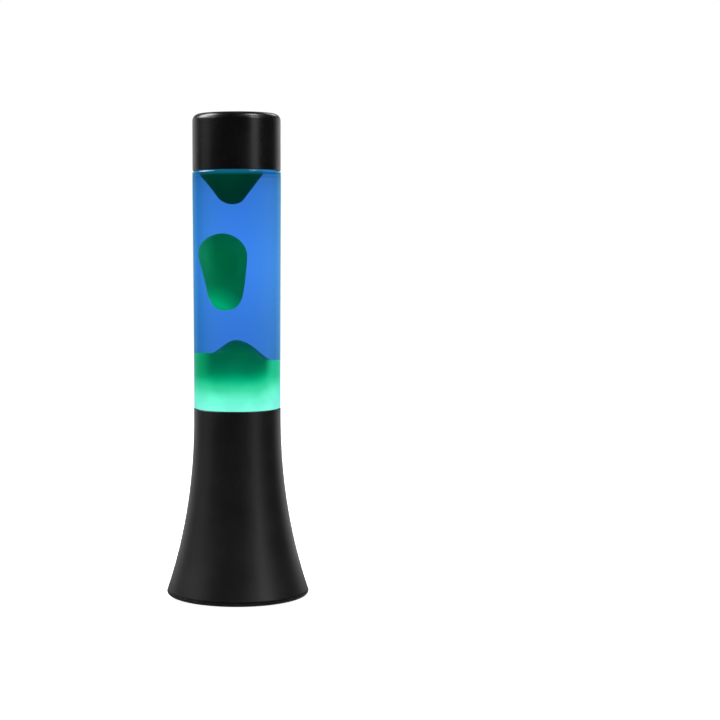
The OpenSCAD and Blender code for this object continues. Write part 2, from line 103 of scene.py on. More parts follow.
def spline(points, steps):
    """A Catmull-Rom curve through tuples of any length, in steps from each point to the next."""
    out = []
    for i in range(len(points) - 1):
        p0, p1 = points[max(i - 1, 0)], points[i]
        p2, p3 = points[i + 1], points[min(i + 2, len(points) - 1)]
        for k in range(steps):
            t = k / steps
            out.append(tuple(
                0.5 * (2 * b + (c - a) * t + (2 * a - 5 * b + 4 * c - d) * t * t
                       + (3 * b - a - 3 * c + d) * t ** 3)
                for a, b, c, d in zip(p0, p1, p2, p3)))
    out.append(tuple(points[-1]))
    return out


def finish_mesh(name, bm, sharp_angle=SHARP_ANGLE):
    """Makes a smooth-shaded object of bm, and frees bm."""
    bmesh.ops.remove_doubles(bm, verts=bm.verts, dist=WELD)
    bmesh.ops.recalc_face_normals(bm, faces=bm.faces)
    mesh = bpy.data.meshes.new(name)
    bm.to_mesh(mesh)
    bm.free()
    mesh.polygons.foreach_set("use_smooth", [True] * len(mesh.polygons))
    mesh.set_sharp_from_angle(angle=math.radians(sharp_angle))
    obj = bpy.data.objects.new(name, mesh)
    bpy.context.collection.objects.link(obj)
    return obj


def add_rings(bm, rings, closed):
    """Joins rings of vertices with quads; a ring of one vertex is a pole."""
    pairs = list(zip(rings, rings[1:])) + ([(rings[-1], rings[0])] if closed else [])
    for a, b in pairs:
        n = max(len(a), len(b))
        if n == 1:
            continue
        for i in range(n):
            j = (i + 1) % n
            corners = [a[i % len(a)], a[j % len(a)], b[j % len(b)], b[i % len(b)]]
            unique = list(dict.fromkeys(corners))
            if len(unique) > 2:
                bm.faces.new(unique)


def ring_at(bm, x, r, z, segments=SEGMENTS):
    """A level ring of vertices round (x, 0, z), in millimetres; one vertex where r is nought."""
    if r < TINY:
        return [bm.verts.new((x * MM, 0, z * MM))]
    turn = 2 * math.pi / segments
    return [bm.verts.new(((x + r * math.cos(turn * i)) * MM, r * math.sin(turn * i) * MM, z * MM))
            for i in range(segments)]


def lathe(name, profile, segments=SEGMENTS):
    """Spins a (radius, height) profile round the lamp's axis; it is closed unless both of its
    ends are on the axis."""
    bm = bmesh.new()
    rings = [ring_at(bm, 0, r, z, segments) for r, z in profile]
    add_rings(bm, rings, closed=len(rings[0]) > 1 or len(rings[-1]) > 1)
    return finish_mesh(name, bm)


def loft(name, stations):
    """Joins level circles given as (centre x, radius, height)."""
    bm = bmesh.new()
    add_rings(bm, [ring_at(bm, *station) for station in stations], closed=False)
    return finish_mesh(name, bm, sharp_angle=60)


def wire_loop(name, path, r, sides):
    """A round wire through a closed loop of points in millimetres, with its frame carried along."""
    bm = bmesh.new()
    points = [Vector(p) for p in path]
    rings, side = [], (points[1] - points[-1]).orthogonal()
    for i, p in enumerate(points):
        along = (points[(i + 1) % len(points)] - points[i - 1]).normalized()
        side = (side - along * side.dot(along)).normalized()
        up = along.cross(side)
        rings.append([bm.verts.new((p + r * (side * math.cos(a) + up * math.sin(a))) * MM)
                      for a in (2 * math.pi * k / sides for k in range(sides))])
    add_rings(bm, rings, closed=True)
    return finish_mesh(name, bm, sharp_angle=50)


# ---------------------------------------------------------------- profiles, in millimetres

TOTAL_H, BASE_H, CAP_Z = 364.0, 143.3, 321.8  # top of cap, top of base, lower edge of cap

SHEET = 1.2  # thickness of the base's metal
COLLAR_R, LEDGE_R, HEM_H, RIM_ROUND = 32.85, 29.9, 5.0, 0.7  # the collar, folded inward
FLARE_R, FLARE_POWER, FLARE_TOP = 54.0, 2.18, BASE_H - 1.85
EDGE_GAP, ROLL, EDGE_IN = 1.6, 2.3, 49.4  # the edge rolled under the foot, clear of the floor
ROLL_Z = EDGE_GAP + ROLL
CREASE_ANGLE, CREASE_R, CREASE_Z = 8, FLARE_R - 1.0, 4.6  # notch between flare and rolled edge
LIP_Z, LIP_ROUND = 5.2, 0.5  # the flare's lower lip, just above the notch
OUTSIDE_LOW = LIP_Z + 0.4
INSIDE_LOW, INSIDE_HIGH = ROLL_Z + 0.4, BASE_H - HEM_H - 2
SLOPE_STEP = 0.01


def flare(z):
    u = max(0.0, (FLARE_TOP - z) / (FLARE_TOP - ROLL_Z))
    return COLLAR_R + (FLARE_R - COLLAR_R) * u ** FLARE_POWER


def flare_slope(z):
    return (flare(z + SLOPE_STEP) - flare(z - SLOPE_STEP)) / (2 * SLOPE_STEP)


def flare_point(z, inward):
    """Point on the flare at height z, moved inward along the surface's normal."""
    slope = flare_slope(z)
    length = math.hypot(1, slope)
    return flare(z) - inward / length, z + inward * slope / length


base_profile = (
    [(EDGE_IN, EDGE_GAP), (FLARE_R - ROLL, EDGE_GAP)]
    + arc(FLARE_R - ROLL, ROLL_Z, ROLL, -84, CREASE_ANGLE, 20)
    + [(CREASE_R, CREASE_Z)]
    + arc(flare(LIP_Z) - LIP_ROUND, LIP_Z, LIP_ROUND, -75, 0, 5)
    + [(flare(z), z) for z in heights(OUTSIDE_LOW, FLARE_TOP, 110)]
    + arc(COLLAR_R - RIM_ROUND, BASE_H - RIM_ROUND, RIM_ROUND, 0, 90, 8)
    + arc(LEDGE_R + RIM_ROUND, BASE_H - RIM_ROUND, RIM_ROUND, 90, 180, 8)
    + [(LEDGE_R, BASE_H - HEM_H), (COLLAR_R - SHEET, BASE_H - HEM_H)]
    + [flare_point(z, SHEET) for z in reversed(heights(INSIDE_LOW, INSIDE_HIGH, 80))]
    + [(FLARE_R - ROLL, EDGE_GAP + SHEET), (EDGE_IN, EDGE_GAP + SHEET)]
)

GLASS_Z, BOTTOM, WALL = 123.3, 2.6, 2.2  # underside of the bottle; thickness of bottom and wall
FLOOR_Z = GLASS_Z + BOTTOM
GLASS_FOOT_R, GLASS_LOW_R, GLASS_TOP_R, GLASS_POWER = 29.4, 32.65, 33.2, 1.8
HEEL, SEAT_Z, SEAT_ROUND = 2.5, BASE_H + 0.02, 0.8  # the foot's edge, and the seat on the collar
FULL_Z = CAP_Z - 18  # from here up the cylinder has its full radius
SHOULDER_Z, SHOULDER = CAP_Z - 0.05, 1.8
SPIGOT_R, DOME_Z, DOME_R = 31.3, CAP_Z + 6.8, 7.2  # what the cap goes over
NECK_R, NECK_LOW, NECK_Z = 19.0, CAP_Z + 16.7, 348.5
LIQUID_Z = 331.0  # the liquid's surface, hidden by the cap


def glass_r(z):
    """Outer radius of the cylinder, which widens a little upward."""
    t = min(1.0, max(0.0, (z - SEAT_Z) / (FULL_Z - SEAT_Z)))
    return lerp(GLASS_LOW_R, GLASS_TOP_R, t ** GLASS_POWER)


def cavity_wall(inward=0.0):
    """Inner face of the glass from the neck down to the floor, moved inward."""
    points = (
        [(NECK_R - WALL, NECK_LOW - 1.6), (NECK_R - WALL + 1.2, NECK_LOW - 3.4)]
        + arc(SPIGOT_R - DOME_R, DOME_Z, DOME_R - WALL, 84, 0, 14)
        + [(SPIGOT_R - WALL, SHOULDER_Z - 3), (GLASS_TOP_R - WALL - 0.9, SHOULDER_Z - 5.5),
           (GLASS_TOP_R - WALL, SHOULDER_Z - 9)]
        + [(glass_r(z) - WALL, z) for z in reversed(heights(SEAT_Z + 5, FULL_Z, 40))]
        + [(GLASS_LOW_R - WALL, SEAT_Z + 4), (GLASS_LOW_R - WALL - 0.9, SEAT_Z + 1.6),
           (GLASS_FOOT_R - WALL + 0.5, SEAT_Z - 2), (GLASS_FOOT_R - WALL, SEAT_Z - 4)]
        + arc(GLASS_FOOT_R - WALL - HEEL, FLOOR_Z + HEEL, HEEL, 0, -90, 10)
    )
    return [(r - inward, z) for r, z in points]


glass_profile = (
    [(0, GLASS_Z)]
    + arc(GLASS_FOOT_R - HEEL, GLASS_Z + HEEL, HEEL, -90, 0, 10)
    + [(GLASS_FOOT_R, SEAT_Z - 0.6), (GLASS_FOOT_R + 0.6, SEAT_Z)]
    + arc(GLASS_LOW_R - SEAT_ROUND, SEAT_Z + SEAT_ROUND, SEAT_ROUND, -90, 0, 8)
    + [(glass_r(z), z) for z in heights(SEAT_Z + SEAT_ROUND + 0.5, FULL_Z, 60)]
    + arc(GLASS_TOP_R - SHOULDER, SHOULDER_Z - SHOULDER, SHOULDER, 0, 90, 12)
    + [(SPIGOT_R, SHOULDER_Z)]
    + arc(SPIGOT_R - DOME_R, DOME_Z, DOME_R, 0, 84, 14)
    + [(NECK_R + 1.6, NECK_LOW - 1.9), (NECK_R + 0.4, NECK_LOW - 1.1), (NECK_R, NECK_LOW),
       (NECK_R, NECK_Z - 0.6), (NECK_R - 0.6, NECK_Z), (NECK_R - WALL, NECK_Z)]
    + cavity_wall()
    + [(0, FLOOR_Z)]
)

INTO_GLASS = 0.12  # the liquid reaches just into the glass, so no air gap shows between them
LIQUID_TOP_R, LIQUID_MID_R = SPIGOT_R - WALL - 1.0, 14  # the surface's edge, and a ring inside it
liquid_profile = (
    [(0, FLOOR_Z - INTO_GLASS)]
    + [(r, max(z, FLOOR_Z - INTO_GLASS)) for r, z in reversed(cavity_wall(-INTO_GLASS))
       if z < LIQUID_Z]
    + [(LIQUID_TOP_R, LIQUID_Z), (LIQUID_MID_R, LIQUID_Z), (0, LIQUID_Z)]
)

CAP_R, CAP_T, CAP_ROUND, CAP_EDGE = 33.1, 1.2, 5.2, 0.35
cap_profile = (
    [(CAP_R - CAP_T, CAP_Z), (CAP_R - CAP_EDGE, CAP_Z)]
    + arc(CAP_R - CAP_EDGE, CAP_Z + CAP_EDGE, CAP_EDGE, -60, 0, 4)
    + [(CAP_R, z) for z in heights(CAP_Z + 1, TOTAL_H - CAP_ROUND - 1, 6)]
    + arc(CAP_R - CAP_ROUND, TOTAL_H - CAP_ROUND, CAP_ROUND, 0, 90, 20)
    + [(20, TOTAL_H), (10, TOTAL_H), (0, TOTAL_H), (0, TOTAL_H - CAP_T)]
    + arc(CAP_R - CAP_ROUND, TOTAL_H - CAP_ROUND, CAP_ROUND - CAP_T, 90, 0, 10)
)

# ---------------------------------------------------------------- material helpers


class Nodes:
    """Short calls to add nodes to a node tree."""

    def __init__(self, tree):
        self.tree = tree

    def feed(self, socket, value):
        """Links value to the socket, or sets it there where it is a number or a colour."""
        if isinstance(value, bpy.types.NodeSocket):
            self.tree.links.new(value, socket)
        elif isinstance(value, tuple):
            socket.default_value = (*value, 1.0)
        else:
            socket.default_value = value

    def node(self, kind, *inputs, **props):
        n = self.tree.nodes.new(kind)
        for key, value in props.items():
            setattr(n, key, value)
        for socket, value in zip(n.inputs, inputs):
            if value is not None:
                self.feed(socket, value)
        return n

    def maths(self, operation, a, b=None, c=None):
        return self.node("ShaderNodeMath", a, b, c, operation=operation).outputs[0]

    def span(self, value, from_min, from_max, to_min=0.0, to_max=1.0, ease="SMOOTHSTEP"):
        """Maps value from one range to another, clamped at both ends."""
        return self.node("ShaderNodeMapRange", value, from_min, from_max, to_min, to_max,
                         interpolation_type=ease).outputs["Result"]

    def mix(self, factor, a, b, blend="MIX"):
        n = self.node("ShaderNodeMix", factor, data_type="RGBA", blend_type=blend)
        for index, value in ((6, a), (7, b)):  # the two colour sockets
            self.feed(n.inputs[index], value)
        return n.outputs[2]

    def axes(self, coords):
        return self.node("ShaderNodeSeparateXYZ", coords).outputs


class Shader(Nodes):
    """A material with a Principled node; its textures are in the piece's own metres."""

    def __init__(self, name, **sockets):
        self.mat = bpy.data.materials.new(name)
        self.mat.use_nodes = True
        super().__init__(self.mat.node_tree)
        for key, value in sockets.items():
            self.put(key.replace("_", " "), value)
        self.coords = self.node("ShaderNodeTexCoord").outputs["Object"]

    def put(self, key, value):
        """Feeds a socket of the Principled node."""
        self.feed(self.tree.nodes["Principled BSDF"].inputs[key], value)

    def noise(self, scale, detail=3.0, roughness=0.5, stretch=None):
        where = self.coords
        if stretch:
            mapping = self.node("ShaderNodeMapping", where)
            mapping.inputs["Scale"].default_value = stretch
            where = mapping.outputs[0]
        n = self.node("ShaderNodeTexNoise", where)
        for key, value in (("Scale", scale), ("Detail", detail), ("Roughness", roughness)):
            n.inputs[key].default_value = value
        return n.outputs["Fac"]

    def ramp(self, factor, stops):
        n = self.node("ShaderNodeValToRGB", factor)
        elements = n.color_ramp.elements
        while len(elements) < len(stops):
            elements.new(0.5)
        for element, (at, colour) in zip(elements, stops):
            element.position = at
            element.color = (*colour, 1)
        return n.outputs["Color"]

    def bump(self, height, strength, distance):
        n = self.node("ShaderNodeBump")
        for key, value in (("Strength", strength), ("Distance", distance), ("Height", height)):
            self.feed(n.inputs[key], value)
        self.put("Normal", n.outputs[0])


# how deep each finish's bumps are, in metres
PAINT_BUMP, METAL_BUMP, MOULDING_BUMP = 4e-5, 6e-5, 8e-5
GLASS_BUMP, WAX_BUMP, BULB_BUMP = 4e-4, 3e-4, 5e-5
DUST = 1.5  # how much paler dust makes the paint
COARSE_PEEL = 1.5  # height of the paint's broader ripples beside the fine ones


def paint(name, colour, rough, peel):
    """Satin black paint with a faint orange peel and uneven gloss."""
    s = Shader(name)
    broad, fine = s.noise(38, detail=4, roughness=0.6), s.noise(1500, detail=2)
    dusty = tuple(DUST * c for c in colour)
    s.put("Base Color", s.mix(s.span(broad, 0.35, 0.7), colour, dusty))
    s.put("Roughness", s.span(broad, 0.3, 0.7, rough - 0.025, rough + 0.035))
    ripples = s.maths("ADD", fine, s.maths("MULTIPLY", s.noise(420), COARSE_PEEL))
    s.bump(ripples, peel, PAINT_BUMP)
    return s.mat


def metal(name, colour, dark, rough, grain):
    s = Shader(name, Metallic=1.0)
    patches = s.noise(grain, detail=4, roughness=0.6)
    s.put("Base Color", s.mix(s.span(patches, 0.3, 0.75), colour, dark))
    s.put("Roughness", s.span(patches, 0.3, 0.7, rough - 0.06, rough + 0.1))
    s.bump(patches, 0.25, METAL_BUMP)
    return s.mat


def moulding(name, colour, second, rough, grain, depth=0.2):
    s = Shader(name)
    broad, fine = s.noise(90), s.noise(grain, detail=2)
    s.put("Base Color", s.mix(s.span(broad, 0.3, 0.7), colour, second))
    s.put("Roughness", s.span(broad, 0.3, 0.7, rough - 0.05, rough + 0.05))
    s.bump(fine, depth, MOULDING_BUMP)
    return s.mat


base_paint = paint("base_paint", (0.0042, 0.0042, 0.0044), rough=0.40, peel=0.22)
cap_paint = paint("cap_paint", (0.0016, 0.0016, 0.0018), rough=0.27, peel=0.12)
zinc = metal("zinc_plate", (0.66, 0.67, 0.69), (0.50, 0.51, 0.54), 0.34, 60)
brass = metal("brass", (0.78, 0.58, 0.26), (0.55, 0.38, 0.16), 0.3, 120)
tinplate = metal("tinplate", (0.72, 0.71, 0.68), (0.58, 0.57, 0.55), 0.26, 45)
shell_alloy = metal("cap_alloy", (0.75, 0.75, 0.74), (0.60, 0.60, 0.60), 0.3, 150)
solder = metal("solder", (0.60, 0.60, 0.60), (0.42, 0.42, 0.43), 0.42, 400)
wire_metal = metal("wire_metal", (0.52, 0.52, 0.54), (0.36, 0.36, 0.38), 0.36, 500)
rubber = moulding("black_rubber", (0.012, 0.012, 0.012), (0.022, 0.022, 0.022), 0.72, 900, 0.4)
holder_plastic = moulding("holder_moulding", (0.74, 0.70, 0.61), (0.66, 0.62, 0.54), 0.5, 700)
block_plastic = moulding("block_moulding", (0.80, 0.78, 0.71), (0.72, 0.70, 0.63), 0.42, 600)
brown = moulding("brown_sleeve", (0.16, 0.065, 0.025), (0.11, 0.045, 0.018), 0.4, 500)
blue = moulding("blue_sleeve", (0.02, 0.10, 0.36), (0.015, 0.07, 0.27), 0.4, 500)
liner = moulding("liner_foam", (0.70, 0.69, 0.62), (0.60, 0.59, 0.53), 0.8, 1200, 0.5)
dark_glass = moulding("dark_glass", (0.012, 0.008, 0.016), (0.02, 0.014, 0.024), 0.15, 300, 0.1)

BAND_LOW, BAND_FULL, BAND_END = CAP_Z - 4.4, CAP_Z - 1.4, CAP_Z + 0.1  # painted glow on the glass, where the shoulder turns in under the cap
# the painted band's darker glass colour, its painted blue-green glow, and the glow's strength
BAND_BODY, PAINTED_BAND_GLOW, BAND_STRENGTH = (0.30, 0.25, 0.25), (0.02, 0.53, 1.0), 0.19


def clear_glass(name, tint, rough=0.0, gloss=1.0, edge=0.0):
    """Glass; gloss scales how much it reflects when it is looked at squarely. edge is how
    strongly a painted glow shows as a blue-green band where the shoulder turns in, with the
    glass's colour painted darker there."""
    s = Shader(name, Transmission_Weight=1.0, IOR=1.47, Roughness=rough,
               Specular_Tint=(gloss, gloss, gloss), Emission_Color=PAINTED_BAND_GLOW)
    z = s.axes(s.coords)["Z"]
    # painted band: a blue-green glow and a darker tint painted on the glass just under the cap
    painted_band = s.maths("MULTIPLY", s.span(z, BAND_LOW * MM, BAND_FULL * MM),
                   s.span(z, CAP_Z * MM, BAND_END * MM, 1.0, 0.0))
    plain = s.mix(s.noise(14, detail=2), tint, tuple(0.985 * c for c in tint))
    s.put("Base Color", s.mix(s.maths("MULTIPLY", painted_band, edge), plain, BAND_BODY))
    s.put("Emission Strength", s.maths("MULTIPLY", painted_band, BAND_STRENGTH * edge))
    s.bump(s.noise(30, detail=2, roughness=0.4, stretch=(1, 1, 0.35)), 0.05, GLASS_BUMP)
    return s.mat


bottle_glass = clear_glass("bottle_glass", (0.72, 0.985, 1.0), gloss=0.1, edge=1.0)
edge_glass = clear_glass("edge_glass", (0.97, 0.99, 1.0), rough=0.06, edge=1.0)
wet_glass = clear_glass("wet_glass", (0.99, 0.995, 1.0), gloss=0.02)
stem_glass = clear_glass("stem_glass", (0.95, 0.97, 0.97), rough=0.02)

DYE, DYE_DENSITY = (0.42, 0.70, 0.968, 1), 78.0


def blue_liquid():
    """Clear dyed liquid: the colour comes from absorption along the light's path."""
    s = Shader("blue_liquid", Transmission_Weight=1.0, IOR=1.33, Roughness=0.0,
               Specular_Tint=(0.02, 0.02, 0.02))
    s.put("Base Color", s.mix(s.noise(9, detail=2), (1.0, 1.0, 1.0), (0.95, 0.975, 1.0)))
    absorb = s.node("ShaderNodeVolumeAbsorption")
    absorb.inputs["Color"].default_value = DYE
    absorb.inputs["Density"].default_value = DYE_DENSITY
    s.feed(s.tree.nodes["Material Output"].inputs["Volume"], absorb.outputs[0])
    return s.mat


SIDE_REACH = 0.7  # how much further in the painted glow along a side starts to rise, as a share of the side's width
WANDER = 0.004  # metres by which the heights of the painted glow wander
WAX_BODY, WAX_DEEP, WAX_SHEEN = (0.0, 0.02, 0.01), (0.0, 0.012, 0.006), (0.02, 0.8, 0.45)


def green_wax(name, stops, low, high, lean=(0, 0), sides=(), rim=0.0):
    """Wax with light painted into it: its emission is a painted glow that stands in for the light
    from below. stops run from height low to height high, in metres; lean tilts the painted glow
    along x and y. Each of sides is an inner and an outer x, how far the painted glow's colours
    rise between them, and the least painted glow there, painted light along a side. rim is a sheen."""
    s = Shader(name, Specular_IOR_Level=0.02, Roughness=0.42)
    x, y, height = s.axes(s.coords)
    for part, share in zip((x, y), lean):
        if share:
            height = s.maths("MULTIPLY_ADD", part, share, height)
    # painted light along the sides: the painted glow reaches higher near each side
    for inner, outer, rise, _ in sides:
        start = lerp(inner, outer, -SIDE_REACH)
        height = s.maths("ADD", height, s.span(x, start, outer, 0.0, -rise))
    wander = s.maths("MULTIPLY", s.maths("SUBTRACT", s.noise(55, detail=2), 0.5), WANDER)
    # painted glow: a colour ramp over height that stands in for light from below
    painted_glow = s.ramp(s.span(s.maths("ADD", height, wander), low, high, ease="LINEAR"), stops)
    # painted light: near each side the painted glow is no darker than its least colour
    for inner, outer, _, least in sides:
        painted_glow = s.mix(s.span(x, inner, outer), painted_glow, s.mix(1.0, painted_glow, least, "LIGHTEN"))
    s.put("Base Color", s.mix(s.noise(80), WAX_BODY, WAX_DEEP))
    s.put("Emission Color", painted_glow)
    # the painted glow's strength is a little uneven
    glow_unevenness = s.noise(70, detail=2, roughness=0.4)
    s.put("Emission Strength", s.span(glow_unevenness, 0.35, 0.65, 0.97, 1.07))
    if rim:
        s.put("Sheen Weight", rim)
        s.put("Sheen Roughness", 0.35)
        s.put("Sheen Tint", WAX_SHEEN)
    s.bump(s.noise(120), 0.12, WAX_BUMP)
    return s.mat


# painted glow: bright mint at the bottom as if lit from below, dark green higher up, and painted
# brighter near both sides
pool_wax = green_wax("wax_pool", [
    (0.0, (0.27, 1.0, 0.79)), (0.19, (0.175, 0.98, 0.66)), (0.26, (0.125, 0.87, 0.54)),
    (0.335, (0.058, 0.70, 0.37)), (0.41, (0.023, 0.59, 0.285)), (0.485, (0.001, 0.44, 0.198)),
    (0.545, (0.0, 0.31, 0.127)), (0.605, (0.0, 0.21, 0.091)), (0.70, (0.0, 0.158, 0.075)),
    (0.80, (0.0, 0.13, 0.06)), (1.0, (0.0, 0.115, 0.048))], 0.142, 0.192,
    sides=((0.019, 0.027, 0.005, (0.016, 0.58, 0.28)),
           (-0.017, -0.030, 0.001, (0.0, 0.37, 0.135))))
# painted glow: brightest low down and to the left, and painted no darker than set levels on its
# right half and at its left edge
blob_wax = green_wax("wax_blob", [
    (0.0, (0.0, 0.60, 0.16)), (0.08, (0.0, 0.41, 0.11)), (0.23, (0.0, 0.215, 0.057)),
    (0.5, (0.0, 0.165, 0.043)), (0.85, (0.0, 0.17, 0.046)), (1.0, (0.0, 0.20, 0.058))],
    0.2146, 0.2738, lean=(0.6, 0.1), rim=0.1,
    sides=((-0.003, 0.003, 0.0, (0.0, 0.215, 0.055)),
           (-0.012, -0.0205, 0.0, (0.002, 0.27, 0.08))))
# painted glow, dim and nearly even, for the wax hanging from the top
top_wax = green_wax("wax_top", [
    (0.0, (0.0, 0.058, 0.022)), (0.25, (0.0, 0.048, 0.018)), (1.0, (0.0, 0.052, 0.021))],
    0.296, 0.331)

FROST, SILVER, LAMPLIGHT, DARK = (0.92, 0.90, 0.86), (0.80, 0.80, 0.82), (1.0, 0.86, 0.62), (0, 0, 0)
SILVER_TOP, SILVER_FADE = 95.0, 0.5


def bulb_surface():
    """Frosted dome, silvered reflector below it; the silver ends just under the widest ring."""
    s = Shader("bulb_glass", Emission_Strength=0.9)
    z = s.axes(s.coords)["Z"]
    silver = s.span(z, (SILVER_TOP - SILVER_FADE) * MM, (SILVER_TOP + SILVER_FADE) * MM, 1.0, 0.0)
    s.put("Base Color", s.mix(silver, FROST, SILVER))
    s.put("Metallic", silver)
    s.put("Roughness", s.span(s.noise(260), 0.3, 0.7, 0.16, 0.34))
    s.put("Emission Color", s.mix(silver, LAMPLIGHT, DARK))
    s.bump(s.noise(900, detail=2), 0.1, BULB_BUMP)
    return s.mat


# ---------------------------------------------------------------- pieces


def place(obj, material, body, slot, *replaced):
    obj.data.materials.clear()
    obj.data.materials.append(material)
    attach(obj, body)
    if replaced:
        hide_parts(*replaced)
    return obj


def cut(obj, tool):
    """Subtracts tool from obj for good, and removes tool."""
    mod = obj.modifiers.new("cut", "BOOLEAN")
    mod.operation, mod.solver, mod.object = "DIFFERENCE", "EXACT", tool
    bpy.context.view_layer.update()
    done = obj.evaluated_get(bpy.context.evaluated_depsgraph_get())
    mesh = bpy.data.meshes.new_from_object(done)
    obj.modifiers.clear()
    obj.data = mesh
    mesh.set_sharp_from_angle(angle=math.radians(SHARP_ANGLE))
    bpy.data.objects.remove(tool)


# hole for the cord's grommet at the rear, square to the base's wall
CORD_Z, CORD_HOLE_R, CUT_REACH = 16.0, 4.9, 10


def base_shell():
    shell = lathe("base_shell_skin", base_profile)
    tool = lathe("hole_tool", [(0, -CUT_REACH), (CORD_HOLE_R, -CUT_REACH),
                               (CORD_HOLE_R, CUT_REACH), (0, CUT_REACH)], segments=64)
    tilt = math.atan(-flare_slope(CORD_Z))
    turn = Matrix.Rotation(tilt - math.pi / 2, 4, "X")
    tool.data.transform(Matrix.Translation((0, flare(CORD_Z) * MM, CORD_Z * MM)) @ turn)
    cut(shell, tool)
    return shell


place(base_shell(), base_paint, "base", "black_paint", "base_shell")
place(lathe("cap_skin", cap_profile), cap_paint, "cap", "black_paint", "top_cap")

bottle = place(lathe("bottle_glass_skin", glass_profile), bottle_glass, "bottle", "clear_glass",
               "glass_bottle")
bottle.data.materials.append(wet_glass)
bottle.data.materials.append(edge_glass)
for face in bottle.data.polygons:
    inward = face.normal.xy.dot(face.center.xy) < -TINY
    if inward and face.center.z < LIQUID_Z * MM:
        face.material_index = 1  # wet_glass: the inner wall up to the liquid's surface
    elif face.center.z > (SHOULDER_Z - SHOULDER) * MM:
        face.material_index = 2  # edge_glass: the shoulder and all above it

place(lathe("liquid_body", liquid_profile), blue_liquid(), "bottle", "blue_liquid", "liquid")

# wax pool: a ridge that runs from front to back, on a surface that is higher at the left wall
# than at the right, leans down to the rear and ripples a little
POOL_GAP = 0.04  # between the pool and the glass
POOL_WALL_Z = 172.0  # the pool's side is straight up to here
SHORE_Z, SHORE_SWING, SHORE_REACH = 183.6, 2.7, 26
LEAN, LEAN_FROM, REAR_DROP = 0.08, -19, 0.004
RIDGE_H, RIDGE_DEPTH, RIDGE_LEFT, RIDGE_RIGHT, RIDGE_SAG = 13.0, 31.5, 17.5, 16.6, 0.85
RIPPLE_H, RIPPLE_SIZE, RIPPLE_LAYER = 0.3, 16, 3.1
POOL_WALL_RINGS, POOL_TOP_RINGS = 8, 40


def pool_height(x, y):
    shore = SHORE_Z - SHORE_SWING * math.sin(math.pi / 2 * max(-1, min(1, x / SHORE_REACH)))
    if x < 0:
        across = (1 + math.cos(math.pi * min(1, -x / RIDGE_LEFT))) / 2
    else:
        across = max(0, 1 - (x / RIDGE_RIGHT) ** 2)
    along = 1 - RIDGE_SAG * (y / RIDGE_DEPTH) ** 2
    ripple = RIPPLE_H * noise.noise(Vector((x / RIPPLE_SIZE, y / RIPPLE_SIZE, RIPPLE_LAYER)))
    fall = LEAN * (y - LEAN_FROM) + REAR_DROP * max(0, y) ** 2
    return shore - fall + RIDGE_H * across * along + ripple


def wax_pool():
    wall = [(r, z) for r, z in cavity_wall(POOL_GAP) if z < POOL_WALL_Z]
    wall.append((0, FLOOR_Z + POOL_GAP))
    bm = bmesh.new()
    rings = [ring_at(bm, 0, r, z) for r, z in reversed(wall)]
    edge = wall[0][0]

    def surface_ring(r, share):
        ring = ring_at(bm, 0, r, POOL_WALL_Z)
        for v in ring:
            v.co.z = lerp(POOL_WALL_Z, pool_height(v.co.x / MM, v.co.y / MM), share) * MM
        return ring

    rings += [surface_ring(edge, share) for share in heights(0, 1, POOL_WALL_RINGS)[1:]]
    rings += [surface_ring(r, 1.0) for r in heights(edge, 0, POOL_TOP_RINGS)[1:]]
    add_rings(bm, rings, closed=False)
    return finish_mesh("wax_pool_body", bm, sharp_angle=70)


place(wax_pool(), pool_wax, "bottle", "green_wax", "wax_pool")

WAX_STEPS = 8
blob_line = spline([
    (-6.7, 0.0, 217.2), (-6.7, 3.4, 217.8), (-6.6, 6.2, 219.8), (-6.5, 8.2, 223.2),
    (-6.7, 9.9, 228.3), (-6.8, 11.2, 236.9), (-7.4, 12.65, 247.3), (-7.95, 13.7, 254.4),
    (-8.2, 13.9, 260.1), (-8.5, 12.6, 265.9), (-8.6, 9.6, 270.5), (-8.5, 6.2, 273.2),
    (-8.4, 2.6, 274.7), (-8.4, 0.0, 275.0)], WAX_STEPS)
place(loft("wax_blob_body", blob_line), blob_wax, "blob", "green_wax", "wax_blob")

HANG_X, HANG_TOP = -2.2, LIQUID_Z - 0.05
hang_line = spline([
    (-2.3, 0.0, 296.6), (-2.4, 2.8, 297.1), (-2.6, 5.3, 298.6), (-2.9, 7.3, 300.9),
    (-2.9, 10.0, 305.7), (-2.9, 12.6, 310.2), (-3.1, 17.2, 318.2), (-2.6, 21.1, 324.6),
    (HANG_X, 24.7, HANG_TOP)], WAX_STEPS) + [(HANG_X, 0.0, HANG_TOP)]
place(loft("wax_top_body", hang_line), top_wax, "bottle", "green_wax", "wax_top")

# wire coil on the floor of the bottle: a long spring bent into a ring
COIL_RING, COIL_R, COIL_WIRE, COIL_GAP = 19.5, 2.3, 0.45, 0.1
COIL_Z = FLOOR_Z + COIL_R + COIL_WIRE + COIL_GAP
COIL_LOOPS, COIL_STEPS = 26, 24
coil_path = []
for i in range(COIL_LOOPS * COIL_STEPS):
    a, b = 2 * math.pi * i / (COIL_LOOPS * COIL_STEPS), 2 * math.pi * i / COIL_STEPS
    r = COIL_RING + COIL_R * math.cos(b)
    coil_path.append((r * math.cos(a), r * math.sin(a), COIL_Z + COIL_R * math.sin(b)))
place(wire_loop("heating_coil_wire", coil_path, COIL_WIRE, sides=10), wire_metal, "bottle",
      "zinc", "heating_coil")

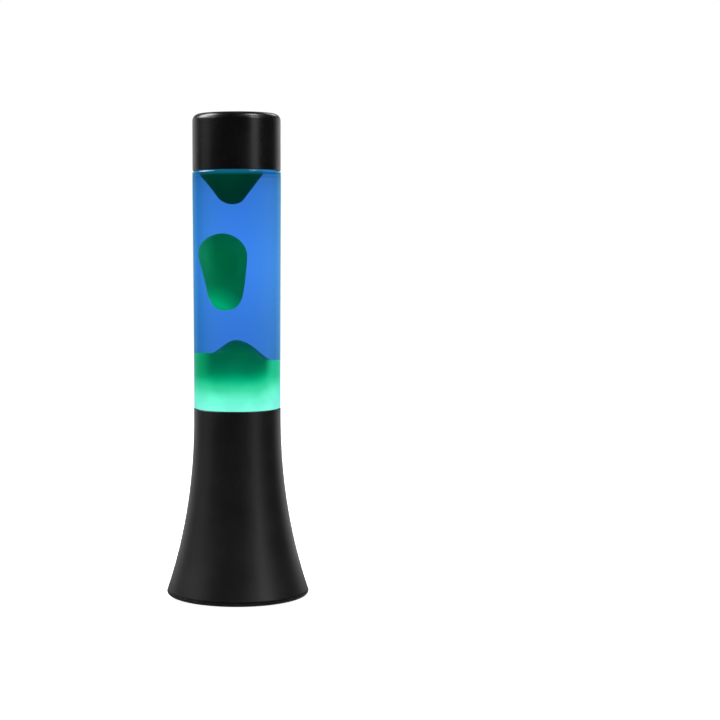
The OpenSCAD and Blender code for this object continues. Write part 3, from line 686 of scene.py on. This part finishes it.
# CAD nodes that keep their shape and get a finish
finishes = {
    zinc: ["shell_tabs", "bottom_plate", "plate_screws", "lampholder_bracket", "bracket_screws",
           "bracket_nuts", "terminal_screws", "block_screw"],
    rubber: ["rubber_feet", "cord_grommet"],
    brass: ["holder_nipple", "nipple_nut", "lampholder_sleeve", "lampholder_contact"],
    holder_plastic: ["lampholder_body"],
    block_plastic: ["terminal_block"],
    brown: ["lead_live"],
    blue: ["lead_neutral"],
    solder: ["bulb_contact"],
    shell_alloy: ["bulb_cap"],
    dark_glass: ["bulb_insulator"],
    bulb_surface(): ["bulb_glass"],
    stem_glass: ["bulb_stem"],
    wire_metal: ["filament_supports", "bulb_filament"],
    tinplate: ["bottle_lid"],
    liner: ["lid_liner"],
}
for material, names in finishes.items():
    for name in names:
        nodes[name].data.materials.clear()
        nodes[name].data.materials.append(material)

# ---------------------------------------------------------------- floor, world and lights

FLOOR_SIZE, NEAR_R, NEAR_DROP = 8, 0.22, 0.0002
FLOOR_PALE, FLOOR_DULL, FLOOR_GLOW = (0.86, 0.86, 0.86), (0.84, 0.84, 0.84), 0.95


def floor():
    """Pale floor. To the camera it is nearly white and takes a faint contact shadow; a disc
    just under it is what the foot's paint reflects."""
    bm = bmesh.new()
    bmesh.ops.create_grid(bm, x_segments=2, y_segments=2, size=FLOOR_SIZE)
    wide = finish_mesh("floor", bm)
    bm = bmesh.new()
    bmesh.ops.create_circle(bm, cap_ends=True, segments=64, radius=NEAR_R)
    near = finish_mesh("floor_near", bm)
    near.location.z = -NEAR_DROP
    s = Shader("floor", Roughness=0.9, Specular_IOR_Level=0.0, Emission_Color=(1.0, 1.0, 1.0))
    s.put("Base Color", s.mix(s.noise(3, detail=2), FLOOR_PALE, FLOOR_DULL))
    seen = s.node("ShaderNodeLightPath").outputs["Is Camera Ray"]
    s.put("Emission Strength", s.maths("MULTIPLY", seen, FLOOR_GLOW))
    for obj in (wide, near):
        obj.data.materials.append(s.mat)
        obj.visible_transmission = False
    wide.visible_glossy = False
    near.visible_camera = near.visible_diffuse = near.visible_shadow = False


floor()

# the bright level: height and half width as the z of a direction, and its glow over the sides'
LIT_Z, LIT_HALF, LIT_GLOW, SIDE_GLOW = -0.0105, 0.04, 0.38, 0.64
WALL_GLOW, ROOM_GLOW = 0.78, 0.06
WHITE, COOL = (1.0, 1.0, 1.0), (0.25, 0.62, 0.75)


def world():
    """White to the camera. What shines through the glass is a soft studio with four bright sides
    and cooler corners, brightest near eye level. What the black paint mirrors is a dim room with
    a low pale wall behind the lamp, and the smooth glass mirrors the same room in a cool tint."""
    w = bpy.data.worlds.new("studio")
    bpy.context.scene.world = w
    w.use_nodes = True
    n = Nodes(w.node_tree)

    def blend(share, a, b):
        return n.maths("ADD", a, n.maths("MULTIPLY", share, n.maths("SUBTRACT", b, a)))

    x, y, z = n.axes(n.node("ShaderNodeTexCoord").outputs["Generated"])
    x2, y2 = n.maths("MULTIPLY", x, x), n.maths("MULTIPLY", y, y)
    flat = n.maths("MAXIMUM", n.maths("ADD", x2, y2), TINY)
    corner = n.maths("DIVIDE", n.maths("MULTIPLY", n.maths("MULTIPLY", x2, y2), 4.0),
                     n.maths("MULTIPLY", flat, flat))
    off_level = n.maths("DIVIDE", n.maths("SUBTRACT", z, LIT_Z), LIT_HALF)
    lit = n.maths("DIVIDE", LIT_GLOW, n.maths("ADD", n.maths("POWER", off_level, 2.0), 1.0))
    studio = n.maths("ADD", lit, SIDE_GLOW)

    behind = n.maths("DIVIDE", y, n.maths("SQRT", flat))
    wall = n.maths("MULTIPLY", n.span(behind, 0.4, 0.8), n.span(z, 0.12, 0.35, 1.0, 0.1))
    wall = n.maths("MULTIPLY", wall, n.span(x, -0.5, 0.5, 0.8, 1.0))
    room = n.maths("MULTIPLY_ADD", wall, WALL_GLOW, ROOM_GLOW)

    path = n.node("ShaderNodeLightPath").outputs
    passed = path["Is Transmission Ray"]
    strength = blend(path["Is Camera Ray"], blend(passed, room, studio), 1.0)
    mirrored = n.maths("MULTIPLY", path["Is Singular Ray"], n.maths("SUBTRACT", 1.0, passed))
    cooler = n.maths("MULTIPLY", corner, n.span(x, -0.5, 0.5, 0.6, 1.1))
    cool = n.maths("ADD", n.maths("MULTIPLY", cooler, passed), mirrored)
    background = w.node_tree.nodes["Background"].inputs
    n.feed(background["Color"], n.mix(cool, WHITE, COOL))
    n.feed(background["Strength"], strength)


world()

# light linking: lights with this collection as their receivers leave the bottle out
paint_only = bpy.data.collections.new("paint_only")
paint_only.objects.link(bottle)
for entry in paint_only.collection_objects:
    entry.light_linking.link_state = "EXCLUDE"

LAMP_MIDDLE = Vector((0, 0, 0.2))


def softbox(name, azimuth, elevation, distance, size, radiance, skip_glass=True):
    """Area light aimed at the lamp's middle. Azimuth 0 is in front of it, and positive is to the
    viewer's right; angles in degrees, sizes in metres. skip_glass keeps it off the bottle."""
    a, e = math.radians(azimuth), math.radians(elevation)
    data = bpy.data.lights.new(name, "AREA")
    data.shape = "RECTANGLE"
    data.size, data.size_y = size
    data.energy = radiance * math.pi * size[0] * size[1]
    obj = bpy.data.objects.new(name, data)
    bpy.context.collection.objects.link(obj)
    toward = Vector((math.sin(a) * math.cos(e), -math.cos(a) * math.cos(e), math.sin(e)))
    obj.location = LAMP_MIDDLE + toward * distance
    obj.rotation_euler = toward.to_track_quat("Z", "Y").to_euler()
    obj.visible_transmission = False
    if skip_glass:
        obj.light_linking.receiver_collection = paint_only


softbox("front_right", 48, 10, 1.54, (0.5, 1.5), 1.05)
softbox("right_low", 50, 30, 1.4, (0.5, 0.35), 6.0)
softbox("right_high", 64, 60, 1.5, (0.45, 0.45), 13.0, skip_glass=False)
softbox("left_side", -88, 8, 1.53, (0.85, 1.5), 0.3)
softbox("left_low", -72, 30, 1.4, (0.6, 0.32), 3.5)
softbox("left_high", -107, 44, 1.5, (0.8, 0.9), 11.0, skip_glass=False)
softbox("overhead", 30, 47, 2.3, (1.4, 1.0), 0.4)
softbox("back_right", 150, 38, 1.64, (0.5, 0.5), 3.0)

bpy.context.scene.view_settings.view_transform = "Standard"
